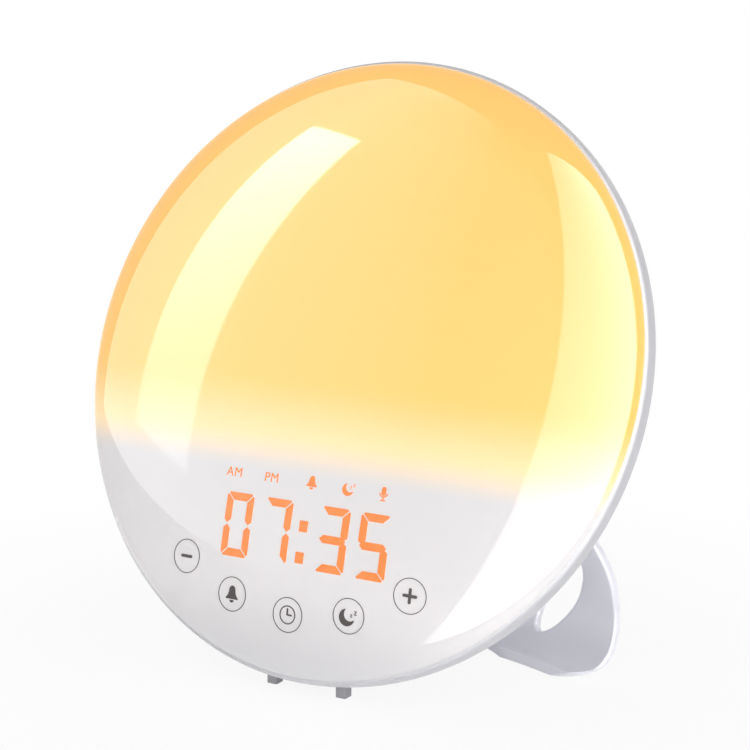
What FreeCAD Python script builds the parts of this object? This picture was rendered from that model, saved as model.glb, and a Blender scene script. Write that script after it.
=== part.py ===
"""Round sunrise alarm clock: a domed milky face on a leaning shell, held up by a moulded rear stand.

Every piece but the stand and the feet is drawn upright in the face frame: x right, y to the back,
z up, origin at the centre of the seam between face and rim. lean() then tips it back on its stand.
"""
import FreeCAD, Part
import math
import os
from FreeCAD import Vector

# Face and case
CASE_DIAMETER = 175.0
LEAN_DEG = 20.2
SEAM_RADIUS = 86.3
DOME_HEIGHT = 12.7
DOME_ROUNDING = (0.81, 0.93)
FACE_WALL = 2.0
SKIRT_OUTER = 84.4
SKIRT_DEPTH = 5.0
RIM_BAND = 4.2
RIM_DEPTH = 6.9
BACK_DEPTH = 44.0
BACK_FLAT = 41.0
BACK_WALL = 2.2
BACK_EDGE_DEPTH = 7.0

# Heights of the zones on the face, measured up from its centre
BAFFLE_HEIGHT = -27.5
DIGIT_MIDDLE = -48.5
DIGIT_HEIGHT = 17.2
DIGIT_WIDTH = 8.2
DIGIT_STROKE = 2.0
DIGIT_PLACES = (-19.6, -6.6, 10.2, 23.4)
COLON_PLACE = 1.8
ICON_HEIGHT = -34.3
ICON_PLACES = (-23.0, -10.6, 2.4, 13.9, 24.5)
KEY_PLACES = ((-35.8, -59.3), (-18.7, -67.3), (0.0, -70.0), (18.7, -67.3), (35.8, -59.3))
KEY_RADIUS = 4.7
KEY_LINE = 0.4
PRINT_DEPTH = 0.12
PRINT_REACH = (-20.0, 0.0)

# Depths of the inside layers, measured back from the seam
TRAY = (8.0, 9.6)
POST_MEETING = 12.0
LAMP_BOARD = (6.4, 8.0)
TOUCH_BOARD = (-1.0, 0.6)
MODULE_FRONT = -7.2
MAIN_BOARD = (11.6, 13.2)
BOARD_POSTS = ((-30.0, -22.0), (30.0, -22.0), (-30.0, 12.0), (30.0, 12.0))
CASE_SCREWS = ((-58.0, 38.0), (58.0, 38.0), (-56.0, -40.0), (56.0, -40.0))
BOARD_SCREW = 1.1
SCREW_RADIUS = 1.5
SCREW_HEAD = (2.9, 1.8)
CASE_POST = 4.2
CASE_SCREW_SEAT = 15.6
STAND_SCREW_SEAT = 51.0
BORE_GAP = 0.02
RUNNING_GAP = 0.08
CLEARANCE = 0.3

# Panels on the back, each drawn at the back's middle and turned about the centre of its sphere;
# a floor is the depth of a panel's outside face
BUTTON_TILT = 26.0
BUTTON_PLACES = (-19.0, 0.0, 19.0)
BUTTON_RADIUS = 5.0
BUTTON_TRAVEL = 0.5
BUTTON_FLANGE = 1.0
BUTTON_FLOOR = 40.0
BUTTON_BOARD = (30.0, 31.6)
SOCKET_TURN = 27.0
SOCKET_FLOOR = 41.5
SOCKET_BOARD = (24.9, 26.5)
POWER_Z = -9.0
CHARGE_Z = 9.0
CELL_TURN = -27.0
CELL_FLOOR = 34.8
COIN_CELL = (10.0, 3.2)
COVER_RADIUS = 13.0
COVER_FACES = (39.8, 41.6)
COVER_LUG = 14.2

# Speaker on the flat of the back
SPEAKER_RADIUS = 20.0
SPEAKER_HOLLOW = 18.0
SPEAKER_FLANGE = (37.0, 38.2)
SPEAKER_MAGNET = (11.0, 21.0, 29.0)
GRILLE_RINGS = ((0.0, 1), (4.0, 6), (8.0, 12), (12.0, 18), (16.0, 24))
GRILLE_HOLE = 1.1

# Stand and feet, in the leaned frame with the floor below
FLOOR = -86.9
STAND_WALL = 3.0
STAND_AXIS_Y = -102.5
STAND_TOE = 134.6
STAND_KNEE = 157.4
STAND_TOP = (135.0, -32.0)
STAND_BEND = 13.0
NECK_HALF = 18.0
NECK_HEIGHTS = (-50.0, -35.0)
STAND_LIFT = 0.4
TOE_CORNER = (51.0, 32.3, 10.0, 1.7)
TOE_ARCH = (-10.2, 50.4)
EAR_HOLE = (48.1, -67.2, 15.6, 4.7, 33.0)
STAND_SCREWS = ((-10.0, -15.5), (10.0, -15.5))
OUTLINE_ROUND = 0.7
HOLE_ROUND = 1.0
PAD = (2.6, 1.4, 44.0)
FOOT = (11.2, -21.7, 3.0, 3.2)

BACK_RISE = BACK_DEPTH - BACK_EDGE_DEPTH
SPHERE_RADIUS = (SKIRT_OUTER ** 2 + BACK_RISE ** 2) / (2 * BACK_RISE)
SPHERE_Y = BACK_DEPTH - SPHERE_RADIUS
Y_AXIS = Vector(0, 1, 0)
pieces = {}


def dome_depth(radius, inset=0.0):
    """How far the face stands forward of the seam at this radius."""
    rim, height = SEAM_RADIUS - inset, DOME_HEIGHT - inset
    cosine = min(1.0, radius / rim) ** (1 / DOME_ROUNDING[0])
    return height * math.sin(math.acos(cosine)) ** DOME_ROUNDING[1]


def dome_curve(inset=0.0, end=None):
    """The face's half profile as a smooth curve from the axis out to the seam."""
    rim = end or SEAM_RADIUS - inset
    steps = 24
    radii = [rim * math.sin(math.pi / 2 * i / steps) for i in range(steps + 1)]
    points = [Vector(r, -dome_depth(r, inset), 0) for r in radii]
    curve = Part.BSplineCurve()
    curve.interpolate(points)
    return curve.toShape()


def revolve(edges):
    """A solid turned about the face's axis from a closed half profile in the xy plane."""
    face = Part.Face(Part.Wire(Part.__sortEdges__(edges)))
    return face.revolve(Vector(0, 0, 0), Y_AXIS, 360)


def line(*points):
    """Straight edges through the given (radius, depth) points."""
    vectors = [Vector(x, y, 0) for x, y in points]
    return [Part.makeLine(a, b) for a, b in zip(vectors, vectors[1:])]


def rod(radius, start, end, x=0.0, z=0.0):
    """A round bar along y, from one depth to another."""
    return Part.makeCylinder(radius, end - start, Vector(x, start, z), Y_AXIS)


def block(x, y, z):
    """A box between the given pairs of limits."""
    return Part.makeBox(x[1] - x[0], y[1] - y[0], z[1] - z[0], Vector(x[0], y[0], z[0]))


def sphere(radius):
    """The sphere that the back is part of."""
    return Part.makeSphere(radius, Vector(0, SPHERE_Y, 0))


def on_back(shape, tilt=0.0, turn=0.0):
    """Moves a shape drawn at the back's middle to another place on the same sphere."""
    moved = shape.copy()
    moved.rotate(Vector(0, SPHERE_Y, 0), Vector(1, 0, 0), tilt)
    moved.rotate(Vector(0, SPHERE_Y, 0), Vector(0, 0, 1), turn)
    return moved


def lean(shape):
    """Tips an upright shape back to the angle at which the clock stands."""
    moved = shape.copy()
    moved.rotate(Vector(0, 0, 0), Vector(1, 0, 0), -LEAN_DEG)
    return moved


def add(name, shape, upright=True):
    """Keeps a finished piece under its node name."""
    pieces[name] = lean(shape) if upright else shape


def join(shapes):
    """One solid from overlapping shapes."""
    return shapes[0].multiFuse(shapes[1:]).removeSplitter()


def prism(points, y):
    """An upright outline of (x, z) points pushed through the given depths."""
    wire = Part.makePolygon([Vector(x, y[0], z) for x, z in points + points[:1]])
    return Part.Face(wire).extrude(Vector(0, y[1] - y[0], 0))


# Space inside the face and the back, used to trim what stands against them
inset = FACE_WALL + CLEARANCE
reach = SKIRT_OUTER - FACE_WALL - 3 * CLEARANCE
face_space = revolve([dome_curve(inset, reach)] + line(
    (reach, -dome_depth(reach, inset)), (reach, 60), (0, 60), (0, -dome_depth(0, inset))))
back_space = sphere(SPHERE_RADIUS - BACK_WALL - CLEARANCE)
face_solid = revolve([dome_curve()] + line((SEAM_RADIUS, 0), (0, 0), (0, -DOME_HEIGHT)))


def front_diffuser():
    """Milky domed face with the skirt that plugs into the case."""
    inner = SKIRT_OUTER - FACE_WALL
    hollow = revolve([dome_curve(FACE_WALL, inner)] + line(
        (inner, -dome_depth(inner, FACE_WALL)), (inner, SKIRT_DEPTH + 1), (0, SKIRT_DEPTH + 1),
        (0, -dome_depth(0, FACE_WALL))))
    return face_solid.fuse(rod(SKIRT_OUTER, 0, SKIRT_DEPTH)).cut(hollow)


def rim_ring():
    """Rounded white ring round the widest part of the case."""
    inner, outer = SKIRT_OUTER + 0.1, CASE_DIAMETER / 2
    front = Part.Arc(Vector(SEAM_RADIUS, 0, 0), Vector(outer - 0.35, 0.5, 0), Vector(outer, 1.5, 0)).toShape()
    back = Part.Arc(Vector(outer, RIM_BAND, 0), Vector(outer - 0.8, RIM_BAND + 1.7, 0),
                    Vector(inner + 0.6, RIM_DEPTH, 0)).toShape()
    band = line((outer, 1.5), (outer, RIM_BAND))
    inside = line((inner + 0.6, RIM_DEPTH), (inner, RIM_DEPTH), (inner, 0), (SEAM_RADIUS, 0))
    return revolve([front] + band + [back] + inside)


def button_panel():
    """Recess, wall and bores for the three buttons, drawn at the back's middle."""
    half_x, half_z, rim = 28.0, 7.5, 2.5
    outer_x, outer_z = half_x + rim, half_z + rim
    wall = block((-outer_x, outer_x), (BUTTON_FLOOR - BACK_WALL, BACK_DEPTH), (-outer_z, outer_z))
    recess = block((-half_x, half_x), (BUTTON_FLOOR, 50), (-half_z, half_z))
    bores = [rod(BUTTON_RADIUS + RUNNING_GAP, 30, 50, x) for x in BUTTON_PLACES]
    return wall.common(sphere(SPHERE_RADIUS - 0.5)), [recess] + bores


def socket_panel():
    """Recess and wall with holes for the power and charging sockets."""
    half_x, half_z, rim = 9.0, 18.0, 2.5
    outer_x, outer_z = half_x + rim, half_z + rim
    wall = block((-outer_x, outer_x), (SOCKET_FLOOR - BACK_WALL, BACK_DEPTH), (-outer_z, outer_z))
    recess = block((-half_x, half_x), (SOCKET_FLOOR, 50), (-half_z, half_z))
    power = rod(4.2, 30, 50, 0, POWER_Z)
    charging = block((-7.0, 7.0), (30, 50), (CHARGE_Z - 3.6, CHARGE_Z + 3.6))
    return wall.common(sphere(SPHERE_RADIUS - 0.3)), [recess, power, charging]


def cell_panel():
    """Round cup with a bayonet groove for the backup cell and its cover."""
    low, high = COVER_FACES
    groove_radius = COVER_LUG + CLEARANCE
    cup = rod(16.0, CELL_FLOOR - 1.2, BACK_DEPTH).common(sphere(SPHERE_RADIUS - 0.3))
    dish = rod(groove_radius + 0.7, high - 0.2, 50)
    bore = rod(COVER_RADIUS + RUNNING_GAP, CELL_FLOOR, 50)
    groove = rod(groove_radius, low - 0.6, low + 1.4)
    notch = ((12, groove_radius), (low, high + 0.4), (-4.2, 4.2))
    return cup, [dish, bore, groove] + [turned_block(*notch, angle) for angle in (60, 240)]


def turned_block(x, y, z, angle):
    """A box turned about the panel's own axis."""
    shape = block(x, y, z)
    shape.rotate(Vector(0, 0, 0), Y_AXIS, angle)
    return shape


def screw_bosses():
    """Posts inside the back that the case screws pass through."""
    posts = [rod(CASE_POST, POST_MEETING, 45.0, x, z) for x, z in CASE_SCREWS]
    stand_posts = [on_back(rod(4.0, 30.0, 43.0, x), tilt) for x, tilt in STAND_SCREWS]
    return [post.common(sphere(SPHERE_RADIUS - 0.5)) for post in posts + stand_posts]


def screw_holes():
    """Clearance holes and head recesses for the case screws and the stand screws."""
    shank = SCREW_RADIUS + BORE_GAP
    head = SCREW_HEAD[0] + CLEARANCE
    holes = [rod(shank, 0, 60, x, z) for x, z in CASE_SCREWS]
    recesses = [rod(head, CASE_SCREW_SEAT, 60, x, z) for x, z in CASE_SCREWS]
    stand_holes = [on_back(rod(shank, 20, 60, x), tilt) for x, tilt in STAND_SCREWS]
    return holes + recesses + stand_holes


def rear_shell():
    """Dish-shaped back with its flat, panels, bosses and speaker grille."""
    inner = SPHERE_RADIUS - BACK_WALL
    collar = SKIRT_OUTER - BACK_WALL
    outside = sphere(SPHERE_RADIUS).common(rod(SKIRT_OUTER, SKIRT_DEPTH, BACK_FLAT))
    inside = sphere(inner).common(rod(collar, SKIRT_DEPTH - 1, BACK_FLAT - BACK_WALL))
    shell = outside.cut(inside)
    additions = screw_bosses() + [rod(3.0, MAIN_BOARD[1], 45, x, z).common(inside) for x, z in BOARD_POSTS]
    cuts = screw_holes()
    panels = ((button_panel, BUTTON_TILT, 0), (socket_panel, 0, SOCKET_TURN), (cell_panel, 0, CELL_TURN))
    for panel, tilt, turn in panels:
        wall, holes = panel()
        additions.append(on_back(wall, tilt, turn))
        cuts += [on_back(hole, tilt, turn) for hole in holes]
    for radius, count in GRILLE_RINGS:
        for i in range(count):
            angle = 2 * math.pi * i / count
            cuts.append(rod(GRILLE_HOLE, 30, 50, radius * math.cos(angle), radius * math.sin(angle)))
    cuts += [rod(BOARD_SCREW, 10, MAIN_BOARD[1] + 8, x, z) for x, z in BOARD_POSTS]
    return join([shell] + additions).cut(Part.makeCompound(cuts))


def reflector_tray():
    """White plate that carries the boards and throws the lamp's light forward."""
    plate = rod(SKIRT_OUTER, *TRAY).common(back_space)
    posts = [rod(CASE_POST, TRAY[0], POST_MEETING, x, z) for x, z in CASE_SCREWS]
    supports = [rod(2.6, TOUCH_BOARD[1], TRAY[0] + 0.5, x, -40) for x in (-38, 38)]
    solid = join([plate] + posts + supports)
    holes = [rod(SCREW_RADIUS + BORE_GAP, 5, POST_MEETING + 1, x, z) for x, z in CASE_SCREWS]
    ribbon_slot = block((-12, 12), (5, POST_MEETING), (-46, -40))
    return solid.cut(Part.makeCompound(holes + [ribbon_slot]))


def light_baffle():
    """Wall that keeps the lamp's light out of the display zone."""
    wall = block((-80, 80), (-DOME_HEIGHT, TRAY[0]), (BAFFLE_HEIGHT - 0.75, BAFFLE_HEIGHT + 0.75))
    return wall.common(face_space).common(back_space)


def lamp_board():
    """Half-round circuit board behind the lit part of the face."""
    return rod(66, *LAMP_BOARD).common(block((-70, 70), (0, 20), (-20, 70)))


def lamp_leds():
    """Light-emitting diodes in three arcs on the lamp board."""
    chips = []
    half, below = 2.5, -8.0
    depth = (LAMP_BOARD[0] - 1.6, LAMP_BOARD[0])
    for radius, count in ((14, 5), (34, 8), (54, 12)):
        for i in range(count):
            angle = math.radians(below + (180 - 2 * below) * i / (count - 1))
            x, z = radius * math.cos(angle), radius * math.sin(angle)
            chips.append(block((x - half, x + half), depth, (z - half, z + half)))
    return Part.makeCompound(chips)


def touch_board():
    """Circuit board behind the display and the touch keys."""
    lower = block((-80, 80), TOUCH_BOARD, (-85, BAFFLE_HEIGHT - 2.5))
    return lower.common(rod(79, -5, 5))


def touch_springs():
    """Five sprung pads that feel a finger through the face."""
    pads = []
    for x, z in KEY_PLACES:
        outer, inner, top = 4.0, 2.8, 0.6
        front = -dome_depth(math.hypot(x, z) + outer, FACE_WALL) + CLEARANCE
        hollow = rod(inner, front + top, TOUCH_BOARD[0] + 1, x, z)
        pads.append(rod(outer, front, TOUCH_BOARD[0], x, z).cut(hollow))
    return Part.makeCompound(pads)


def display_module():
    """Light-emitting digit block on the touch board."""
    x = (DIGIT_PLACES[0] - 7, DIGIT_PLACES[3] + 7)
    return block(x, (MODULE_FRONT, TOUCH_BOARD[0]), (DIGIT_MIDDLE - 9.6, ICON_HEIGHT + 3.2))


def on_face(outlines):
    """Thin marks that follow the face's dome, from outlines pushed through it."""
    layer = revolve([dome_curve(-PRINT_DEPTH)] + line(
        (SEAM_RADIUS + PRINT_DEPTH, 0), (0, 0), (0, -DOME_HEIGHT - PRINT_DEPTH))).cut(face_solid)
    return Part.makeCompound([layer.common(outline) for outline in outlines])


def segment_outlines(x, lit):
    """Bars of one seven-segment digit; lit names them a to g."""
    half, tall, stroke = DIGIT_WIDTH / 2, DIGIT_HEIGHT / 2, DIGIT_STROKE
    gap, bevel = 0.35, 0.9
    flat = {'a': tall - stroke / 2, 'g': 0.0, 'd': -tall + stroke / 2}
    upright = {'f': (-1, 1), 'b': (1, 1), 'e': (-1, -1), 'c': (1, -1)}
    bars = []
    for name in lit:
        if name in flat:
            ends, middle = half - gap - bevel, DIGIT_MIDDLE + flat[name]
            points = [(x - ends, middle + stroke / 2), (x + ends, middle + stroke / 2),
                      (x + ends + bevel, middle), (x + ends, middle - stroke / 2),
                      (x - ends, middle - stroke / 2), (x - ends - bevel, middle)]
        else:
            side, way = upright[name]
            centre = x + side * (half - stroke / 2)
            left, right = centre - stroke / 2, centre + stroke / 2
            near = DIGIT_MIDDLE + way * gap
            far = DIGIT_MIDDLE + way * (tall - stroke / 2 - gap)
            points = [(centre, near), (right, near + way * bevel), (right, far - way * bevel),
                      (centre, far), (left, far - way * bevel), (left, near + way * bevel)]
        bars.append(prism(points, PRINT_REACH))
    return bars


def display_digits():
    """Lit bars of the time 07:35 and the colon's two squares."""
    shown = ('abcdef', 'abc', 'abcdg', 'acdfg')
    bars = [bar for x, lit in zip(DIGIT_PLACES, shown) for bar in segment_outlines(x, lit)]
    for offset in (3.9, -4.4):
        z = DIGIT_MIDDLE + offset
        bars.append(block((COLON_PLACE - 1.25, COLON_PLACE + 1.25), PRINT_REACH, (z - 1.45, z + 1.45)))
    return on_face(bars)


def status_icons():
    """Lit marks above the digits: forenoon, afternoon, alarm, nap and sound."""
    heights = (ICON_HEIGHT - 1.1, ICON_HEIGHT + 1.1)
    words = [block((x - 2.7, x + 2.7), PRINT_REACH, heights) for x in ICON_PLACES[:2]]
    marks = [rod(1.7, *PRINT_REACH, x, ICON_HEIGHT) for x in ICON_PLACES[2:]]
    return on_face(words + marks)


def key_prints():
    """Printed ring and sign of each touch key."""
    def ring(x, z, radius, width, hole=(0.0, 0.0)):
        return rod(radius, *PRINT_REACH, x, z).cut(rod(radius - width, -21, 1, x + hole[0], z + hole[1]))

    def bar(x, z, half_x, half_z):
        return block((x - half_x, x + half_x), PRINT_REACH, (z - half_z, z + half_z))

    outlines = [ring(x, z, KEY_RADIUS, 0.3) for x, z in KEY_PLACES]
    minus, bell, clock, moon, plus = KEY_PLACES
    outlines.append(bar(*minus, 1.7, KEY_LINE))
    outlines.append(rod(2.0, *PRINT_REACH, *bell))
    outlines.append(ring(*clock, 2.6, 0.4))
    outlines.append(ring(*moon, 2.3, 0.2, hole=(1.1, 1.1)))
    outlines.append(bar(*plus, 1.7, KEY_LINE).fuse(bar(*plus, KEY_LINE, 1.7)))
    return on_face(outlines)


def main_board():
    """Control board on the back's four posts."""
    board = block((-36, 36), MAIN_BOARD, (-28, 18))
    return board.cut(Part.makeCompound([rod(BOARD_SCREW, 10, 15, x, z) for x, z in BOARD_POSTS]))


def control_chips():
    """Controller, radio and audio chips on the control board."""
    depth = (MAIN_BOARD[1], MAIN_BOARD[1] + 1.5)
    places = ((-16, -8, 5.0), (2, 4, 3.5), (18, -10, 4.2))
    chips = [block((x - half, x + half), depth, (z - half, z + half)) for x, z, half in places]
    return Part.makeCompound(chips)


def board_screws():
    """Small screws that hold the control board."""
    front, back = MAIN_BOARD
    heads = [rod(2.0, front - 1.4, front, x, z) for x, z in BOARD_POSTS]
    shanks = [rod(BOARD_SCREW - BORE_GAP, front, back + 6, x, z) for x, z in BOARD_POSTS]
    return Part.makeCompound([head.fuse(shank) for head, shank in zip(heads, shanks)])


def display_ribbon():
    """Flat cable from the control board to the touch board, through the tray's slot."""
    back, low, thick = 12.0, -43.4, 0.4
    run = block((-8, 8), (TOUCH_BOARD[1], back), (low, low + thick))
    tail = block((-8, 8), (back - thick, back), (low, -28.0))
    return run.fuse(tail).removeSplitter()


def cone(radius_a, radius_b, start, end):
    """A straight cone along y."""
    return Part.makeCone(radius_a, radius_b, end - start, Vector(0, start, 0), Y_AXIS)


def speaker_frame():
    """Pressed basket of the speaker with its mounting flange."""
    front = SPEAKER_FLANGE[0]
    sheet = 1.0
    flange = rod(SPEAKER_RADIUS, *SPEAKER_FLANGE)
    basket = cone(11.5 + sheet, SPEAKER_HOLLOW + sheet, 29.0, front)
    hollow = cone(11.5, SPEAKER_HOLLOW, 29.0 + sheet, front)
    return flange.fuse(basket).cut(hollow).cut(rod(SPEAKER_HOLLOW, front - 0.1, 40)).removeSplitter()


def speaker_cone():
    """Paper cone and its dust cap."""
    low, paper, cap = 32.0, 0.5, 7.0
    outer = cone(cap, 17.2, low, low + 5.4)
    inner = cone(cap - paper, 17.2 - paper, low + 0.4, low + 5.8)
    return outer.cut(inner).fuse(rod(cap, low, low + paper)).removeSplitter()


def speaker_gasket():
    """Foam ring between the speaker's flange and the grille."""
    ring = rod(SPEAKER_RADIUS, SPEAKER_FLANGE[1], BACK_FLAT - BACK_WALL)
    return ring.cut(rod(SPEAKER_HOLLOW + 0.2, 38, 40))


def dc_socket():
    """Barrel power socket with its centre pin."""
    inside = SOCKET_FLOOR - BACK_WALL
    body = block((-5.5, 5.5), (SOCKET_BOARD[1], inside), (POWER_Z - 5.5, POWER_Z + 5.5))
    barrel = rod(4.0, inside - 0.3, SOCKET_FLOOR - 0.2, 0, POWER_Z)
    bore = rod(2.75, 31.0, 45, 0, POWER_Z)
    pin = rod(1.0, 30.5, 40.6, 0, POWER_Z)
    return body.fuse(barrel).cut(bore).fuse(pin).removeSplitter()


def usb_socket():
    """Flat socket that charges a phone, with its contact tongue."""
    half_x, half_z, sheet = 6.6, 3.2, 0.4
    in_x, in_z = half_x - sheet, half_z - sheet
    can = block((-half_x, half_x), (27.0, SOCKET_FLOOR - CLEARANCE), (CHARGE_Z - half_z, CHARGE_Z + half_z))
    mouth = block((-in_x, in_x), (28.0, 45), (CHARGE_Z - in_z, CHARGE_Z + in_z))
    tongue = block((-5.6, 5.6), (27.5, 39.8), (CHARGE_Z + 0.6, CHARGE_Z + 2.4))
    return can.cut(mouth).fuse(tongue).removeSplitter()


def socket_board():
    """Small board that carries the two sockets."""
    return block((-10, 10), SOCKET_BOARD, (-17, 16))


def rear_button(x):
    """Push button with the flange that keeps it in its bore."""
    stop = BUTTON_FLOOR - BACK_WALL - CLEARANCE
    cap = rod(BUTTON_RADIUS, stop - 0.5, BUTTON_FLOOR + 1.2, x)
    flange = rod(BUTTON_RADIUS + 1.3, stop - BUTTON_FLANGE, stop, x)
    return cap.fuse(flange).removeSplitter()


def button_switches():
    """Tact switches under the three buttons."""
    top = BUTTON_FLOOR - BACK_WALL - BUTTON_FLANGE - BUTTON_TRAVEL - 2 * CLEARANCE
    cases = [block((x - 3, x + 3), (BUTTON_BOARD[1], top - 0.8), (-3, 3)) for x in BUTTON_PLACES]
    plungers = [rod(1.7, top - 0.9, top, x) for x in BUTTON_PLACES]
    return Part.makeCompound([case.fuse(plunger) for case, plunger in zip(cases, plungers)])


def battery_cover():
    """Quarter-turn cover of the backup cell with a coin slot and two lugs."""
    low, high = COVER_FACES
    disc = rod(COVER_RADIUS, low, high)
    lugs = [turned_block((11, 20), (low, low + 1.0), (-3.5, 3.5), angle) for angle in (0, 180)]
    lugs = [lug.common(rod(COVER_LUG, low, high)) for lug in lugs]
    slot = block((-7, 7), (high - 0.8, 45), (-0.9, 0.9))
    return join([disc] + lugs).cut(slot)


def stand_section():
    """The stand plate's hooked section: toe on the floor, knee behind, top against the back."""
    top = Vector(STAND_TOP[0], 0, STAND_TOP[1])
    foot_height = FLOOR + STAND_LIFT + STAND_WALL / 2
    knee = Vector(STAND_KNEE, 0, foot_height)
    toe = Vector(STAND_TOE, 0, foot_height)
    back = (toe - knee).normalize()
    rise = (top - knee).normalize()
    half_turn = back.getAngle(rise) / 2
    reach = STAND_BEND / math.tan(half_turn)
    bisector = (back + rise).normalize()
    centre = knee + bisector * (STAND_BEND / math.sin(half_turn))
    edges, ends = [], []
    for side in (-0.5, 0.5):
        radius = STAND_BEND + side * STAND_WALL
        start = knee + back * reach - (centre - knee - back * reach).normalize() * (side * STAND_WALL)
        finish = knee + rise * reach - (centre - knee - rise * reach).normalize() * (side * STAND_WALL)
        middle = centre - bisector * radius
        low = start + back * ((toe - knee).Length - reach)
        high = finish + rise * ((top - knee).Length - reach)
        bend = Part.Arc(start, middle, finish).toShape()
        edges += [Part.makeLine(low, start), bend, Part.makeLine(finish, high)]
        ends.append((low, high))
    edges += [Part.makeLine(ends[0][0], ends[1][0]), Part.makeLine(ends[0][1], ends[1][1])]
    face = Part.Face(Part.Wire(Part.__sortEdges__(edges)))
    face.translate(Vector(0, STAND_AXIS_Y, 0))
    return face


def stand_outline():
    """Front outline of the stand: a wide plate with a rounded ear at each side."""
    half = [(20, -30), (44, -33), (58, -40.5), (65.6, -48.8), (68.6, -58), (67.9, -68), (67.4, -76),
            (66.2, -82.5), (61, -86.4), (54, -89)]
    edges = []
    for side in (1, -1):
        curve = Part.BSplineCurve()
        curve.interpolate([Vector(side * x, 0, z) for x, z in half])
        edges.append(curve.toShape())
    for x, z in (half[0], half[-1]):
        edges.append(Part.makeLine(Vector(x, 0, z), Vector(-x, 0, z)))
    return Part.Face(Part.Wire(Part.__sortEdges__(edges))).extrude(Vector(0, 120, 0))


def toe_corners():
    """What is left off the foot at its two outer corners, to round them in plan."""
    x, y, radius, widening = TOE_CORNER
    height = 12.0
    corner = block((x, x + 30), (0, y), (FLOOR - 1, FLOOR + height))
    keep = Part.makeCone(radius, radius + widening * height, height, Vector(x, y, FLOOR))
    base = Part.makeCylinder(radius, 1.0, Vector(x, y, FLOOR - 1))
    right = corner.cut(keep).cut(base)
    return [right, right.mirror(Vector(0, 0, 0), Vector(1, 0, 0))]


def ear_hole(side):
    """Leaning oval hole through one ear."""
    x, z, long_half, short_half, angle = EAR_HOLE
    ellipse = Part.Ellipse(Vector(0, 0, 0), long_half, short_half).toShape()
    solid = Part.Face(Part.Wire(ellipse)).extrude(Vector(0, 0, 120))
    solid.rotate(Vector(0, 0, 0), Vector(1, 0, 0), -90)
    solid.rotate(Vector(0, 0, 0), Y_AXIS, -side * (90 - angle))
    solid.translate(Vector(side * x, 0, z))
    return solid


def rounded(solid, guides, radius):
    """The solid with its edges along the guides' curved faces rounded over."""
    walls = [f for guide in guides for f in guide.Faces if f.Surface.TypeId != 'Part::GeomPlane']

    def follows(edge, wall):
        span = edge.LastParameter - edge.FirstParameter
        spots = [Part.Vertex(edge.valueAt(edge.FirstParameter + span * part)) for part in (0.1, 0.5, 0.9)]
        return all(wall.distToShape(spot)[0] < 1e-3 for spot in spots)

    return solid.makeFillet(radius, [e for e in solid.Edges if any(follows(e, wall) for wall in walls)])


def stand():
    """Moulded plate with two looped ears, a hooked foot and a neck screwed to the back."""
    outline = stand_outline()
    ears = [ear_hole(1), ear_hole(-1)]
    plate = stand_section().revolve(Vector(0, STAND_AXIS_Y, 0), Vector(0, 0, 1), 360).common(outline)
    behind = Part.makeCylinder(STAND_TOP[0] + 8, 80, Vector(0, STAND_AXIS_Y, -80), Vector(0, 0, 1))
    neck = block((-NECK_HALF, NECK_HALF), (10, 40), NECK_HEIGHTS).common(behind)
    solid = plate.fuse(neck).cut(lean(sphere(SPHERE_RADIUS + 0.02)))
    solid = max(solid.Solids, key=lambda s: s.Volume)
    holes = ears + toe_corners()
    holes.append(Part.makeCylinder(TOE_ARCH[1], 14, Vector(0, TOE_ARCH[0], FLOOR - 1)))
    for x, tilt in STAND_SCREWS:
        holes.append(lean(on_back(rod(SCREW_RADIUS + BORE_GAP, 20, 80, x), tilt)))
        holes.append(lean(on_back(rod(SCREW_HEAD[0] + 0.2, STAND_SCREW_SEAT, 80, x), tilt)))
    solid = solid.cut(Part.makeCompound(holes)).removeSplitter()
    return rounded(rounded(solid, [outline], OUTLINE_ROUND), ears, HOLE_ROUND)


def stand_pads():
    """Soft pads let into the underside of the stand's foot."""
    radius, height, x = PAD
    y = STAND_AXIS_Y + math.sqrt((STAND_TOE + 5) ** 2 - x ** 2)
    return [Part.makeCylinder(radius, height, Vector(side * x, y, FLOOR)) for side in (-1, 1)]


def front_feet():
    """Two small feet under the rim."""
    x, y, width, length = FOOT
    feet = [block((s * x - width / 2, s * x + width / 2), (y - length / 2, y + length / 2), (FLOOR, -78))
            for s in (-1, 1)]
    return Part.makeCompound([foot.cut(lean(rod(CASE_DIAMETER / 2, -30, RIM_BAND))).cut(
        pieces['rim_ring']).cut(lean(sphere(SPHERE_RADIUS + 0.02))) for foot in feet])


def screws(places, head_depth, length):
    """Pan-head screws standing along y, heads to the back."""
    radius, height = SCREW_HEAD
    shapes = []
    for x, z in places:
        shape = rod(radius, head_depth, head_depth + height, x, z).fuse(
            rod(SCREW_RADIUS, head_depth - length, head_depth, x, z))
        shapes.append(shape.cut(rod(0.9, head_depth + 0.9, head_depth + 3, x, z)))
    return shapes


add('front_diffuser', front_diffuser())
add('rim_ring', rim_ring())
add('rear_shell', rear_shell())
add('reflector_tray', reflector_tray())
add('light_baffle', light_baffle())
add('lamp_board', lamp_board())
add('lamp_leds', lamp_leds())
add('touch_board', touch_board())
add('touch_springs', touch_springs())
add('display_module', display_module())
add('display_digits', display_digits())
add('status_icons', status_icons())
add('key_prints', key_prints())
add('main_board', main_board())
add('control_chips', control_chips())
add('board_screws', board_screws())
add('display_ribbon', display_ribbon())
add('speaker_frame', speaker_frame())
add('speaker_cone', speaker_cone())
add('speaker_magnet', rod(*SPEAKER_MAGNET))
add('speaker_gasket', speaker_gasket())
add('dc_socket', on_back(dc_socket(), 0, SOCKET_TURN))
add('usb_socket', on_back(usb_socket(), 0, SOCKET_TURN))
add('socket_board', on_back(socket_board(), 0, SOCKET_TURN))
for name, place in zip(('light_button', 'sound_button', 'dimmer_button'), BUTTON_PLACES):
    add(name, on_back(rear_button(place), BUTTON_TILT))
add('button_switches', on_back(button_switches(), BUTTON_TILT))
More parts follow.
